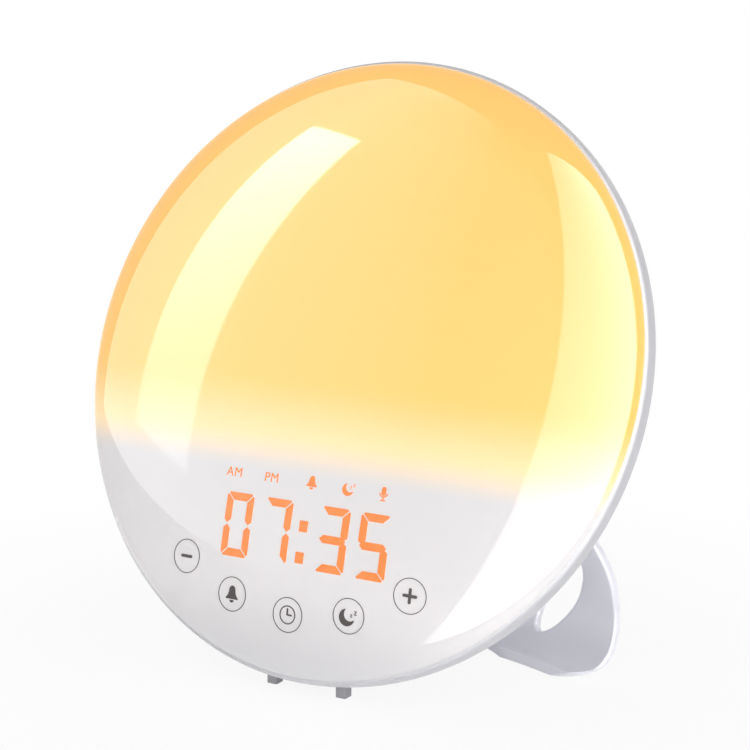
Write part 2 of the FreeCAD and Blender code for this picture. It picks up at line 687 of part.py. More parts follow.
add('button_board', on_back(block((-27, 27), BUTTON_BOARD, (-7, 7)), BUTTON_TILT))
add('cell_contact', on_back(rod(6.0, CELL_FLOOR, CELL_FLOOR + 0.4), 0, CELL_TURN))
cell_seat = CELL_FLOOR + 0.5
add('backup_cell', on_back(rod(COIN_CELL[0], cell_seat, cell_seat + COIN_CELL[1]), 0, CELL_TURN))
add('battery_cover', on_back(battery_cover(), 0, CELL_TURN))
add('case_screws', Part.makeCompound(screws(CASE_SCREWS, CASE_SCREW_SEAT, 8.0)))
add('stand_screws', Part.makeCompound([on_back(screws([(x, 0)], STAND_SCREW_SEAT, 16.0)[0], tilt)
                                       for x, tilt in STAND_SCREWS]))
pads = stand_pads()
add('stand', stand().cut(Part.makeCompound(pads)), upright=False)
add('stand_pads', Part.makeCompound(pads), upright=False)
add('front_feet', front_feet(), upright=False)

whole = Part.makeCompound(list(pieces.values())).optimalBoundingBox(False, False)
origin = Vector(-(whole.XMin + whole.XMax) / 2, -(whole.YMin + whole.YMax) / 2, -whole.ZMin)
os.makedirs("parts", exist_ok=True)
for name, shape in pieces.items():
    shape.translate(origin)
    shape.exportStep(f"parts/{name}.step")
    box = shape.optimalBoundingBox(False, False)
    print(f"{name}: {len(shape.Solids)} solids, valid {shape.isValid()}, {shape.Volume:.0f} mm3, "
          f"x {box.XMin:.1f}..{box.XMax:.1f}, y {box.YMin:.1f}..{box.YMax:.1f}, "
          f"z {box.ZMin:.1f}..{box.ZMax:.1f}")
print(f"seam centre at y {origin.y:.3f}, z {origin.z:.3f}")
print(f"size {whole.XLength:.2f} x {whole.YLength:.2f} x {whole.ZLength:.2f}")
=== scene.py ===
import bpy
import bmesh
import math
from mathutils import Matrix, Vector


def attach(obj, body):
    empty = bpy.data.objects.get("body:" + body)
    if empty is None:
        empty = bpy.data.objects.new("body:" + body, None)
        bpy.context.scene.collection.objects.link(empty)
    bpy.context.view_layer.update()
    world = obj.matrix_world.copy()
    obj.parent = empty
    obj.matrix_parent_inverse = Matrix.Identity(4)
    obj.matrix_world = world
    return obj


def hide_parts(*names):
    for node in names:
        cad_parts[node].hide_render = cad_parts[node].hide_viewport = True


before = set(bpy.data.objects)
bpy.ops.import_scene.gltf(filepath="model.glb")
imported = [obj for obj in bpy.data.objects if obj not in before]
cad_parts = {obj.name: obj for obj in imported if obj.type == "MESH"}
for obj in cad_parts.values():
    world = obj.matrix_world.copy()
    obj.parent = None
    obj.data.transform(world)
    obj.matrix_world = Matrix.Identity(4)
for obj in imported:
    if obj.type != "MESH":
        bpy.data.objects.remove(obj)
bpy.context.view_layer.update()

# Face: one domed shell of milky acrylic, injection moulded and polished, that plugs into the case.
# The upper two thirds are lit from behind by warm lamps; the part below the inner baffle stays white, with
# painted shade that greys it towards the bottom edge.
# Everything on the face is laid out upright, then tipped back by the clock's lean about the seam's centre.
LEAN = math.radians(20.2)
SEAM_CENTRE = Vector((0, -0.008462, 0.0869))
TIP_BACK = Matrix.Translation(SEAM_CENTRE) @ Matrix.Rotation(-LEAN, 4, "X")
SEAM_RADIUS = 0.0863
DOME_HEIGHT = 0.0127
DOME_ROUNDING = (0.81, 0.93)
FACE_WALL = 0.002
SKIRT_RADIUS = 0.0844
SKIRT_DEPTH = 0.005
PROFILE_STEPS = 40
WELD = 1e-6
BAFFLE_HEIGHT = -0.0275
GLOW_BLUR = 0.0060
GLOW_EDGE_START = 0.062
GLOW_STRENGTH = 0.30
PALER_REACH = 0.022
FOOT_SHADE = (-0.060, -0.086)
GLOW_MIDDLE = "#FECB72"
GLOW_EDGE = "#FDC264"
GLOW_FOOT = "#FDE0AC"
MILKY_WHITE = "#F3F0F0"
MILKY_PAINTED_SHADE = "#D9D8D9"


def linear(hex_colour):
    """An sRGB hex colour as a linear RGBA value."""
    parts = [int(hex_colour[i:i + 2], 16) / 255 for i in (1, 3, 5)]
    return [p / 12.92 if p <= 0.04045 else ((p + 0.055) / 1.055) ** 2.4 for p in parts] + [1.0]


def add_node(tree, kind, inputs=None, stops=(), **settings):
    """Adds a shader node with its settings. An input is a value or the output that feeds it, and a
    colour ramp takes stops as (position, colour) pairs."""
    made = tree.nodes.new(kind)
    for name, value in settings.items():
        setattr(made, name, value)
    for name, value in (inputs or {}).items():
        if isinstance(value, bpy.types.NodeSocket):
            tree.links.new(value, made.inputs[name])
        else:
            made.inputs[name].default_value = value
    elements = made.color_ramp.elements if stops else ()
    while len(elements) < len(stops):
        elements.new(0.5)
    for element, (position, colour) in zip(elements, stops):
        element.position = position
        element.color = colour
    return made


def start_material(name, **values):
    """A new material with its shader's constant values set; returns it with its tree and shader."""
    material = bpy.data.materials.new(name)
    material.use_nodes = True
    tree = material.node_tree
    shader = tree.nodes["Principled BSDF"]
    for key, value in values.items():
        shader.inputs[key.replace("_", " ")].default_value = value
    return material, tree, shader


def keep(piece_name, mesh_source, materials, body="clock", smooth_deg=40):
    """Turns a bmesh into a finished, smooth-shaded piece that rides on its body."""
    mesh = bpy.data.meshes.new(piece_name)
    mesh_source.to_mesh(mesh)
    mesh_source.free()
    piece = bpy.data.objects.new(piece_name, mesh)
    bpy.context.collection.objects.link(piece)
    for material in materials:
        mesh.materials.append(material)
    mesh.shade_smooth()
    mesh.set_sharp_from_angle(angle=math.radians(smooth_deg))
    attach(piece, body)
    return piece


def dome_depth(radius, lift=0.0):
    """How far the face stands forward of its seam at this radius."""
    rim, height = SEAM_RADIUS + lift, DOME_HEIGHT + lift
    cosine = min(1.0, radius / rim) ** (1 / DOME_ROUNDING[0])
    return height * math.sin(math.acos(cosine)) ** DOME_ROUNDING[1]


def turned(profile, steps=180):
    """A closed shell spun about the face's axis from (radius, depth) points, front first."""
    shell = bmesh.new()
    points = [shell.verts.new((r, -d, 0)) for r, d in profile]
    edges = [shell.edges.new(pair) for pair in zip(points, points[1:])]
    bmesh.ops.spin(shell, geom=points + edges, cent=(0, 0, 0), axis=(0, 1, 0), angle=math.tau, steps=steps,
                   use_merge=True)
    bmesh.ops.remove_doubles(shell, verts=shell.verts, dist=WELD)
    bmesh.ops.recalc_face_normals(shell, faces=shell.faces)
    return shell


def face_place(tree):
    """Upright face coordinates of a point on the leaning clock, in metres."""
    where = add_node(tree, "ShaderNodeTexCoord").outputs["Object"]
    back = Matrix.Rotation(LEAN, 4, "X")
    mapping = add_node(tree, "ShaderNodeMapping", {
        "Vector": where, "Rotation": (LEAN, 0, 0), "Location": -(back @ SEAM_CENTRE)})
    return mapping.outputs["Vector"]


milky_acrylic, tree, shader = start_material("milky_acrylic", Roughness=0.04, IOR=1.49)
place = face_place(tree)
axes = add_node(tree, "ShaderNodeSeparateXYZ", {"Vector": place})
flat = add_node(tree, "ShaderNodeCombineXYZ", {"X": axes.outputs["X"], "Z": axes.outputs["Z"]})
radius = add_node(tree, "ShaderNodeVectorMath", {0: flat.outputs["Vector"]},
                  operation="LENGTH").outputs["Value"]
height = axes.outputs["Z"]
fades = []
for value, start, end in ((height, BAFFLE_HEIGHT - GLOW_BLUR, BAFFLE_HEIGHT + GLOW_BLUR),
                          (radius, GLOW_EDGE_START, SEAM_RADIUS),
                          (height, BAFFLE_HEIGHT + PALER_REACH, BAFFLE_HEIGHT), (height, *FOOT_SHADE)):
    fades.append(add_node(tree, "ShaderNodeMapRange", {"Value": value, "From Min": start, "From Max": end},
                          interpolation_type="SMOOTHSTEP").outputs["Result"])
lit, spread, paler, shade = fades
glow = add_node(tree, "ShaderNodeValToRGB", {"Fac": spread},
                [(0.0, linear(GLOW_MIDDLE)), (1.0, linear(GLOW_EDGE))]).outputs["Color"]
glow = add_node(tree, "ShaderNodeMix", {"Factor": paler, 6: glow, 7: linear(GLOW_FOOT)}, data_type="RGBA")
# Painted shade: the white below the baffle greys towards the bottom edge, where less light reaches it.
white = add_node(tree, "ShaderNodeValToRGB", {"Fac": shade},
                 [(0.0, linear(MILKY_WHITE)), (1.0, linear(MILKY_PAINTED_SHADE))]).outputs["Color"]
body_colour = add_node(tree, "ShaderNodeMix", {"Factor": lit, 6: white, 7: glow.outputs[2]},
                       data_type="RGBA")
tree.links.new(body_colour.outputs[2], shader.inputs["Base Color"])
tree.links.new(glow.outputs[2], shader.inputs["Emission Color"])
strength = add_node(tree, "ShaderNodeMath", {0: lit, 1: GLOW_STRENGTH}, operation="MULTIPLY")
tree.links.new(strength.outputs["Value"], shader.inputs["Emission Strength"])

inner_rim = SKIRT_RADIUS - FACE_WALL
sines = [math.sin(math.pi / 2 * i / PROFILE_STEPS) for i in range(PROFILE_STEPS + 1)]
outer = [(SEAM_RADIUS * sine, dome_depth(SEAM_RADIUS * sine)) for sine in sines]
inner = [(inner_rim * sine, dome_depth(inner_rim * sine, -FACE_WALL)) for sine in reversed(sines)]
skirt = [(SKIRT_RADIUS, 0), (SKIRT_RADIUS, -SKIRT_DEPTH), (inner_rim, -SKIRT_DEPTH)]
shell = turned(outer + skirt + inner)
bmesh.ops.transform(shell, matrix=TIP_BACK, verts=shell.verts)
face = keep("milky_face", shell, [milky_acrylic])
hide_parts("front_diffuser")


# Rim: a rounded ring of white ABS between the face and the back, moulded and left as it comes from the
# tool, so it shows a soft gloss with a faint waviness. Its grey is painted shade, fitted to the lamps of this
# scene.
RIM_OUTER = 0.0875
RIM_INNER = 0.0845
RIM_BAND = 0.0042
RIM_DEPTH = 0.0069
RIM_FRONT_ROUND = 0.0015
RIM_LIP = 0.0006
ARC_STEPS = 8
CLOUD_MM = 45
CASE_GREYS_PAINTED_SHADE = ("#C9C9CC", "#C3C3C6")


def moulded_white(name, colour, roughness, grain_mm):
    """Moulded plastic with a faint waviness and tiny changes of gloss."""
    material, tree, shader = start_material(name, IOR=1.53)
    where = add_node(tree, "ShaderNodeTexCoord").outputs["Object"]
    grain = add_node(tree, "ShaderNodeTexNoise", {"Vector": where, "Scale": 1000 / grain_mm, "Detail": 3.0})
    cloud = add_node(tree, "ShaderNodeTexNoise", {"Vector": where, "Scale": 1000 / CLOUD_MM, "Detail": 2.0})
    tint = add_node(tree, "ShaderNodeMix", {"Factor": cloud.outputs["Fac"], 6: linear(colour[0]),
                                           7: linear(colour[1])}, data_type="RGBA")
    tree.links.new(tint.outputs[2], shader.inputs["Base Color"])
    gloss = add_node(tree, "ShaderNodeMapRange", {"Value": grain.outputs["Fac"], "To Min": roughness[0],
                                                 "To Max": roughness[1]})
    tree.links.new(gloss.outputs["Result"], shader.inputs["Roughness"])
    bump = add_node(tree, "ShaderNodeBump", {"Height": grain.outputs["Fac"], "Strength": 0.05,
                                            "Distance": 0.0001})
    tree.links.new(bump.outputs["Normal"], shader.inputs["Normal"])
    return material


# Painted shade: the case's white plastic is given a grey base colour that stands in for the shade it lies in.
case_abs = moulded_white("white_abs_painted_shade", CASE_GREYS_PAINTED_SHADE, (0.34, 0.42), 1.2)
arc = [math.pi / 2 * i / ARC_STEPS for i in range(ARC_STEPS + 1)]
front_round = [(SEAM_RADIUS + (RIM_OUTER - SEAM_RADIUS) * math.sin(a),
                -RIM_FRONT_ROUND * (1 - math.cos(a))) for a in arc]
back_round = [(RIM_INNER + RIM_LIP + (RIM_OUTER - RIM_INNER - RIM_LIP) * math.cos(a),
               -RIM_BAND - (RIM_DEPTH - RIM_BAND) * math.sin(a)) for a in arc]
ring = turned([(RIM_INNER, 0)] + front_round + back_round + [(RIM_INNER, -RIM_DEPTH), (RIM_INNER, 0)])
bmesh.ops.transform(ring, matrix=TIP_BACK, verts=ring.verts)
rim = keep("rim_ring_white", ring, [case_abs])
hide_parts("rim_ring")


# Back and stand: the dished shell and the hooked stand plate, both moulded white ABS. The shell takes
# the rim's plastic and its painted shade. The stand's paler white is painted light, fitted to the lamps.
CAD_WELD = 2e-6
STAND_WHITES_PAINTED_LIGHT = ("#F6F6FC", "#F2F2F9")


def smoothed(node, piece_name, material, angle):
    """A copy of a moulded part's mesh, welded and shaded smooth between its real edges."""
    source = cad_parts[node]
    shape = bmesh.new()
    shape.from_mesh(source.data)
    bmesh.ops.remove_doubles(shape, verts=shape.verts, dist=CAD_WELD)
    piece = keep(piece_name, shape, [material], smooth_deg=angle)
    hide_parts(node)


smoothed("rear_shell", "dished_back", case_abs, 25)
# Painted light: the stand's plastic is made whiter than the case's to stand in for light it does not get.
stand_abs = moulded_white("white_abs_painted_light", STAND_WHITES_PAINTED_LIGHT, (0.36, 0.44), 0.8)
smoothed("stand", "looped_stand", stand_abs, 30)


# Digits and status marks: lit bars seen through the milky face. They are laid as thin films on its
# outside, so that they glow through at full colour.
GLOW_ORANGE = "#F6883F"
GLOW_AMBER = "#F98F48"
DIGIT_MIDDLE = -0.0485
DIGIT_HEIGHT = 0.0174
DIGIT_WIDTH = 0.0090
DIGIT_STROKE = 0.00215
DIGIT_GAP = 0.00024
DIGIT_CORNER = 0.0007
DIGIT_PLACES = (-0.0196, -0.0068, 0.0112, 0.0235)
COLON_PLACE = 0.0018
COLON_OFFSETS = (0.0024, -0.0060)
COLON_HALF = (0.00130, 0.00150)
FILM = 0.00012
FILM_THICKNESS = 0.00009
DIGIT_GRID = 0.0012
MARK_GRID = 0.0008


def laid_on_face(sheet):
    """Lays a flat sheet drawn in the upright xz plane on the dome as a thin film, tipped back with it."""
    for face in sheet.faces:
        face.normal_update()
    bmesh.ops.reverse_faces(sheet, faces=[f for f in sheet.faces if f.normal.y > 0])
    for vert in sheet.verts:
        vert.co.y = -(dome_depth(math.hypot(vert.co.x, vert.co.z)) + FILM)
    bmesh.ops.transform(sheet, matrix=TIP_BACK, verts=sheet.verts)
    bmesh.ops.solidify(sheet, geom=sheet.verts[:] + sheet.edges[:] + sheet.faces[:], thickness=FILM_THICKNESS)
    return sheet


def film_from_outlines(outlines, grid):
    """A thin film with the given closed outlines, cut fine enough to follow the dome."""
    sheet = bmesh.new()
    for outline in outlines:
        verts = [sheet.verts.new((x, 0, z)) for x, z in outline]
        sheet.faces.new(verts)
    low = [min(v.co[k] for v in sheet.verts) for k in (0, 2)]
    high = [max(v.co[k] for v in sheet.verts) for k in (0, 2)]
    for axis, k in (((1, 0, 0), 0), ((0, 0, 1), 1)):
        count = int((high[k] - low[k]) / grid)
        for i in range(1, count + 1):
            at = low[k] + i * grid
            centre = (at, 0, 0) if k == 0 else (0, 0, at)
            bmesh.ops.bisect_plane(sheet, geom=sheet.verts[:] + sheet.edges[:] + sheet.faces[:],
                                   plane_co=centre, plane_no=axis, dist=1e-7)
    bmesh.ops.triangulate(sheet, faces=sheet.faces)
    return laid_on_face(sheet)


def bar_outlines(x, lit_bars):
    """Mitred bars of one seven-segment digit; lit_bars names them a to g."""
    half, tall, stroke = DIGIT_WIDTH / 2, DIGIT_HEIGHT / 2, DIGIT_STROKE
    gap, corner = DIGIT_GAP, DIGIT_CORNER
    flat = [(corner + gap - half, tall), (half - corner - gap, tall),
            (half - gap - corner / 2, tall - corner / 2), (half - stroke - gap, tall - stroke),
            (stroke + gap - half, tall - stroke), (gap + corner / 2 - half, tall - corner / 2)]
    upright = [(half, tall - corner - gap), (half, stroke / 2), (half - stroke / 2, gap),
               (half - stroke, stroke / 2 + gap), (half - stroke, tall - stroke - gap),
               (half - corner / 2, tall - corner / 2 - gap)]
    middle = [(half - 2 * gap - side * stroke / 2, z)
              for side, z in ((1, stroke / 2), (0, 0), (1, -stroke / 2))]
    middle += [(-px, -pz) for px, pz in middle]
    shapes = {"a": (flat, 1, 1), "d": (flat, 1, -1), "b": (upright, 1, 1), "c": (upright, 1, -1),
              "e": (upright, -1, -1), "f": (upright, -1, 1), "g": (middle, 1, 1)}
    outlines = []
    for name in lit_bars:
        points, mirror_x, mirror_z = shapes[name]
        outlines.append([(x + mirror_x * px, DIGIT_MIDDLE + mirror_z * pz) for px, pz in points])
    return outlines


def square(x, z, half_x, half_z):
    """Corners of an upright rectangle."""
    return [(x - half_x, z - half_z), (x + half_x, z - half_z),
            (x + half_x, z + half_z), (x - half_x, z + half_z)]


lit_orange, tree, shader = start_material("lit_orange_film", Roughness=0.25, IOR=1.49,
                                          Emission_Strength=0.16)
where = face_place(tree)
flicker = add_node(tree, "ShaderNodeTexNoise", {"Vector": where, "Scale": 1000 / 3, "Detail": 1.0})
orange = add_node(tree, "ShaderNodeValToRGB", {"Fac": flicker.outputs["Fac"]},
                  [(0.3, linear(GLOW_ORANGE)), (0.7, linear(GLOW_AMBER))]).outputs["Color"]
tree.links.new(orange, shader.inputs["Base Color"])
tree.links.new(orange, shader.inputs["Emission Color"])

time_bars = [bar for x, lit_bars in zip(DIGIT_PLACES, ("abcdef", "abc", "abcdg", "acdfg"))
             for bar in bar_outlines(x, lit_bars)]
time_bars += [square(COLON_PLACE, DIGIT_MIDDLE + offset, *COLON_HALF) for offset in COLON_OFFSETS]
digits = keep("time_digits", film_from_outlines(time_bars, DIGIT_GRID), [lit_orange])
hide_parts("display_digits")

ICON_HEIGHT = -0.0343
ICON_PLACES = (-0.0230, -0.0106, 0.0024, 0.0139, 0.0245)
ICON_SIZE = 0.0019
MOON_SIZE = 0.0017
WORD_HEIGHT = 0.0025
CAPITAL_SHARE = 0.70
LETTER_SPACING = 1.08


def disc(x, z, radius, count=28, start=0.0, end=math.tau):
    """Points round a circle or along an arc."""
    span = end - start
    whole = abs(span - math.tau) < 1e-6
    return [(x + radius * math.cos(start + span * i / (count if whole else count - 1)),
             z + radius * math.sin(start + span * i / (count if whole else count - 1))) for i in range(count)]


def capsule(x, z, half_length, half_width, upright=False):
    """A short bar with round ends."""
    reach = half_length - half_width
    if upright:
        top = disc(x, z + reach, half_width, 10, 0.0, math.pi)
        return top + disc(x, z - reach, half_width, 10, math.pi, math.tau)
    right = disc(x + reach, z, half_width, 10, -math.pi / 2, math.pi / 2)
    return right + disc(x - reach, z, half_width, 10, math.pi / 2, 3 * math.pi / 2)


def arc_band(x, z, radius, width, start, end):
    """A curved stroke along part of a circle."""
    outer = disc(x, z, radius, 16, math.radians(start), math.radians(end))
    return outer + disc(x, z, radius - width, 16, math.radians(end), math.radians(start))


def bell_outlines(x, z, size):
    """A small flared bell with its clapper."""
    side = [(0.16, 0.97), (0.34, 0.82), (0.43, 0.58), (0.47, 0.25), (0.58, -0.08), (0.86, -0.40),
            (0.86, -0.52)]
    profile = [(0.0, 1.0)] + side + [(-px, pz) for px, pz in reversed(side)]
    clapper = disc(x, z - 0.62 * size, 0.30 * size, 12, math.pi, math.tau)
    return [[(x + px * size, z + pz * size) for px, pz in profile], clapper]


def moon_outline(x, z, size):
    """A crescent open to the upper right."""
    outer = disc(x, z, size, 30, math.radians(104), math.radians(346))
    shift, inner_size = 0.40 * size, 0.80 * size
    inner = disc(x + shift, z + shift, inner_size, 24, math.radians(-52), math.radians(-218))
    return outer + inner


def microphone_outlines(x, z, size):
    """A capsule over its cradle and foot."""
    return [capsule(x, z + 0.35 * size, 0.62 * size, 0.34 * size, upright=True),
            arc_band(x, z + 0.15 * size, 0.68 * size, 0.17 * size, 188, 352),
            square(x, z - 0.70 * size, 0.09 * size, 0.16 * size),
            square(x, z - 0.93 * size, 0.40 * size, 0.08 * size)]


def plus_outline(x, z, reach, half_width):
    """A cross of two round-ended bars."""
    points = []
    for quarter in range(4):
        turn = quarter * math.pi / 2
        end = (x + (reach - half_width) * math.cos(turn), z + (reach - half_width) * math.sin(turn))
        points += disc(*end, half_width, 8, turn - math.pi / 2, turn + math.pi / 2)
        diagonal = turn + math.pi / 4
        points.append((x + math.sqrt(2) * half_width * math.cos(diagonal),
                       z + math.sqrt(2) * half_width * math.sin(diagonal)))
    return points


def letters(word, x, z, height):
    """A short word in Blender's own sans letters, as a film on the face."""
    curve = bpy.data.curves.new("letters", "FONT")
    curve.body = word
    curve.size = height / CAPITAL_SHARE
    curve.align_x = "CENTER"
    curve.space_character = LETTER_SPACING
    holder = bpy.data.objects.new("letters", curve)
    mesh = bpy.data.meshes.new_from_object(holder)
    lettering = bmesh.new()
    lettering.from_mesh(mesh)
    bpy.data.objects.remove(holder)
    bpy.data.curves.remove(curve)
    bpy.data.meshes.remove(mesh)
    stand_up = Matrix.Translation((x, 0, z - height / 2)) @ Matrix.Rotation(math.radians(90), 4, "X")
    bmesh.ops.transform(lettering, matrix=stand_up, verts=lettering.verts)
    return laid_on_face(lettering)


def merged(*shapes):
    """Several bmeshes as one."""
    whole = bmesh.new()
    for shape in shapes:
        mesh = bpy.data.meshes.new("part")
        shape.to_mesh(mesh)
        shape.free()
        whole.from_mesh(mesh)
        bpy.data.meshes.remove(mesh)
    return whole


bell_x, moon_x, sound_x = ICON_PLACES[2:]
marks = bell_outlines(bell_x, ICON_HEIGHT, ICON_SIZE)
marks.append(moon_outline(moon_x - 0.0002, ICON_HEIGHT - 0.0003, MOON_SIZE))
marks += microphone_outlines(sound_x, ICON_HEIGHT, ICON_SIZE)
words = (("AM", ICON_PLACES[0], 0.0, WORD_HEIGHT), ("PM", ICON_PLACES[1], -0.0001, WORD_HEIGHT),
         ("z", moon_x + 0.0007, 0.0006, 0.0010), ("z", moon_x + 0.0016, 0.0012, 0.0012))
status = merged(film_from_outlines(marks, MARK_GRID),
                *[letters(word, x, ICON_HEIGHT + rise, height) for word, x, rise, height in words])
status_marks = keep("status_marks", status, [lit_orange])
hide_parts("status_icons")


# Key signs: thin rings and signs on the face, over the touch springs. They are pad-printed in a dark
# brown-grey ink, so they have no thickness that shows and less gloss than the acrylic round them.
KEY_PLACES = ((-0.0358, -0.0593), (-0.0187, -0.0673), (0.0, -0.0700), (0.0187, -0.0673), (0.0358, -0.0593))
KEY_RADIUS = 0.0047
KEY_LINE = 0.0002
SIGN_HALF_LINE = 0.00042
CLOCK_RADIUS = 0.0025
CLOCK_LINE = 0.0003


def ring_film(x, z, radius, width, count=64):
    """A flat printed ring laid on the face."""
    sheet = bmesh.new()
    circles = [[sheet.verts.new((px, 0, pz)) for px, pz in disc(x, z, r, count)]
               for r in (radius, radius - width)]
    for i in range(count):
        j = (i + 1) % count
        sheet.faces.new((circles[0][i], circles[0][j], circles[1][j], circles[1][i]))
    return laid_on_face(sheet)


ink, tree, shader = start_material("dark_printed_ink", Roughness=0.35, IOR=1.5)
where = face_place(tree)
specks = add_node(tree, "ShaderNodeTexNoise", {"Vector": where, "Scale": 1000 / 0.5, "Detail": 2.0})
ink_colour = add_node(tree, "ShaderNodeValToRGB", {"Fac": specks.outputs["Fac"]},
                      [(0.35, linear("#38302F")), (0.65, linear("#443C3B"))]).outputs["Color"]
tree.links.new(ink_colour, shader.inputs["Base Color"])

minus, bell, clock, moon, plus = KEY_PLACES
signs = [ring_film(x, z, KEY_RADIUS, KEY_LINE) for x, z in KEY_PLACES]
strokes = [capsule(*minus, 0.0020, SIGN_HALF_LINE), plus_outline(*plus, 0.0021, SIGN_HALF_LINE)]
strokes += bell_outlines(bell[0], bell[1] - 0.0001, 0.0024)
strokes.append(moon_outline(moon[0] - 0.0005, moon[1] - 0.0004, 0.0023))
strokes += [capsule(clock[0] - 0.0001, clock[1] + 0.0008, 0.0010, 0.00024, upright=True),
            square(clock[0] + 0.00075, clock[1], 0.0006, 0.00022)]
signs.append(ring_film(*clock, CLOCK_RADIUS, CLOCK_LINE))
signs.append(film_from_outlines(strokes, MARK_GRID))
signs.append(letters("z", moon[0] + 0.0008, moon[1] + 0.0004, 0.0012))
signs.append(letters("z", moon[0] + 0.0020, moon[1] + 0.0013, 0.0016))
key_signs = keep("key_signs", merged(*signs), [ink])
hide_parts("key_prints")


# Everything else keeps its shape and gets a finish: the feet, buttons and covers that show, and the
# boards, springs, screws, sockets and speaker inside or behind. Each is as moulded, pressed or printed.
def finish(node, material):
    """Gives a moulded, pressed or turned part its own finish."""
    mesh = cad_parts[node].data
    mesh.materials.clear()
    mesh.materials.append(material)


def mottled(name, colours, roughness, grain_mm, **values):
    """A plain finish with a grain of a real size in its colour and gloss."""
    material, tree, shader = start_material(name, **values)
    where = add_node(tree, "ShaderNodeTexCoord").outputs["Object"]
    grain = add_node(tree, "ShaderNodeTexNoise", {"Vector": where, "Scale": 1000 / grain_mm, "Detail": 4.0})
    colour = add_node(tree, "ShaderNodeValToRGB", {"Fac": grain.outputs["Fac"]},
                      [(0.3, linear(colours[0])), (0.7, linear(colours[1]))]).outputs["Color"]
    tree.links.new(colour, shader.inputs["Base Color"])
    gloss = add_node(tree, "ShaderNodeMapRange", {"Value": grain.outputs["Fac"], "To Min": roughness[0],
                                                 "To Max": roughness[1]})
    tree.links.new(gloss.outputs["Result"], shader.inputs["Roughness"])
    return material


# Rubber: dull and slightly uneven, so it takes no highlight.
rubber = mottled("grey_foot_rubber", ("#8E8E92", "#98989C"), (0.55, 0.7), 0.6, IOR=1.5)
for node in ("front_feet", "stand_pads", "speaker_gasket"):
    finish(node, rubber)
# Button plastic: a fine satin that spreads its highlights.
button_abs = moulded_white("satin_button_abs", ("#E6E6E9", "#E0E0E4"), (0.3, 0.38), 0.8)
for node in ("light_button", "sound_button", "dimmer_button", "battery_cover"):
    finish(node, button_abs)
# Zinc plating: soft grey metal reflections with a fine grain.
zinc = mottled("zinc_plated_steel", ("#A9ABAE", "#BFC1C4"), (0.3, 0.42), 0.4, Metallic=1.0)
for node in ("case_screws", "stand_screws", "board_screws", "touch_springs", "cell_contact", "backup_cell",
             "usb_socket"):
    finish(node, zinc)
# Solder resist: a green lacquer with a low gloss, clouded by the glass cloth under it.
solder_resist = mottled("green_solder_resist", ("#16502B", "#1B5C33"), (0.3, 0.4), 2.0, IOR=1.5)
for node in ("touch_board", "main_board", "socket_board", "button_board"):
    finish(node, solder_resist)
# White resist: the same lacquer in white, to throw the light forward.
white_resist = mottled("white_solder_resist", ("#E2E4DE", "#EAEBE6"), (0.35, 0.45), 2.0, IOR=1.5)
finish("lamp_board", white_resist)
# Tray plastic: matte white that scatters the lamps' light.
tray_white = mottled("matte_white_abs", ("#E0DFDA", "#E9E8E4"), (0.5, 0.62), 0.8, IOR=1.5)
for node in ("reflector_tray", "light_baffle"):
    finish(node, tray_white)
# Phosphor: the matte yellow resin over each diode.
phosphor = mottled("yellow_phosphor", ("#E8C84A", "#F2D766"), (0.5, 0.6), 0.3, IOR=1.5)
finish("lamp_leds", phosphor)
# Black plastic: dark, with a broad weak highlight.
black_plastic = mottled("black_moulded_plastic", ("#121213", "#1B1B1D"), (0.35, 0.5), 0.5, IOR=1.5)
for node in ("display_module", "control_chips", "button_switches", "dc_socket"):
    finish(node, black_plastic)
# Cone paper: black and fibrous, with almost no highlight.
black_paper = mottled("black_cone_paper", ("#191919", "#262626"), (0.8, 0.9), 0.7, IOR=1.45)
for node in ("speaker_cone", "speaker_frame"):
    finish(node, black_paper)
# Ferrite: a dark grey sintered block, slightly metallic.
ferrite = mottled("sintered_ferrite", ("#2A2A2C", "#37373A"), (0.5, 0.65), 0.5, Metallic=0.3)
finish("speaker_magnet", ferrite)
# Ribbon: grey flexible plastic with a soft gloss.
ribbon_grey = mottled("grey_ribbon_pvc", ("#8A8A8E", "#97979B"), (0.45, 0.55), 1.2, IOR=1.5)
finish("display_ribbon", ribbon_grey)


# Table and light: a plain white sweep, a soft room, a key lamp and a side lamp give the even light.
# Three upright cards show in reflections only: the long band on the left, the pale veil behind it, and
# the crescent on the right. The sweep and both lamps are hidden from reflections, to leave those whole.
FLOOR_HALF = 6.0
FLOOR_NEAR_WHITE = 0.90
SHADOW_REACH = (0.06, 0.24)
ROOM_LIGHT = [0.52, 0.52, 0.53, 1.0]
floor_mesh = bpy.data.meshes.new("table_top")
floor_shape = bmesh.new()
bmesh.ops.create_grid(floor_shape, x_segments=1, y_segments=1, size=FLOOR_HALF)
floor_shape.to_mesh(floor_mesh)
floor_shape.free()
floor = bpy.data.objects.new("table_top", floor_mesh)
bpy.context.collection.objects.link(floor)


def seen_directly(tree):
    """1 for camera, mirror and see-through rays, 0 for the rays that light the clock."""
    rays = add_node(tree, "ShaderNodeLightPath").outputs
    mirrored = add_node(tree, "ShaderNodeMath", {0: rays["Is Camera Ray"], 1: rays["Is Glossy Ray"]},
                        operation="MAXIMUM")
    return add_node(tree, "ShaderNodeMath", {0: mirrored.outputs["Value"], 1: rays["Is Transmission Ray"]},
                    operation="MAXIMUM").outputs["Value"]


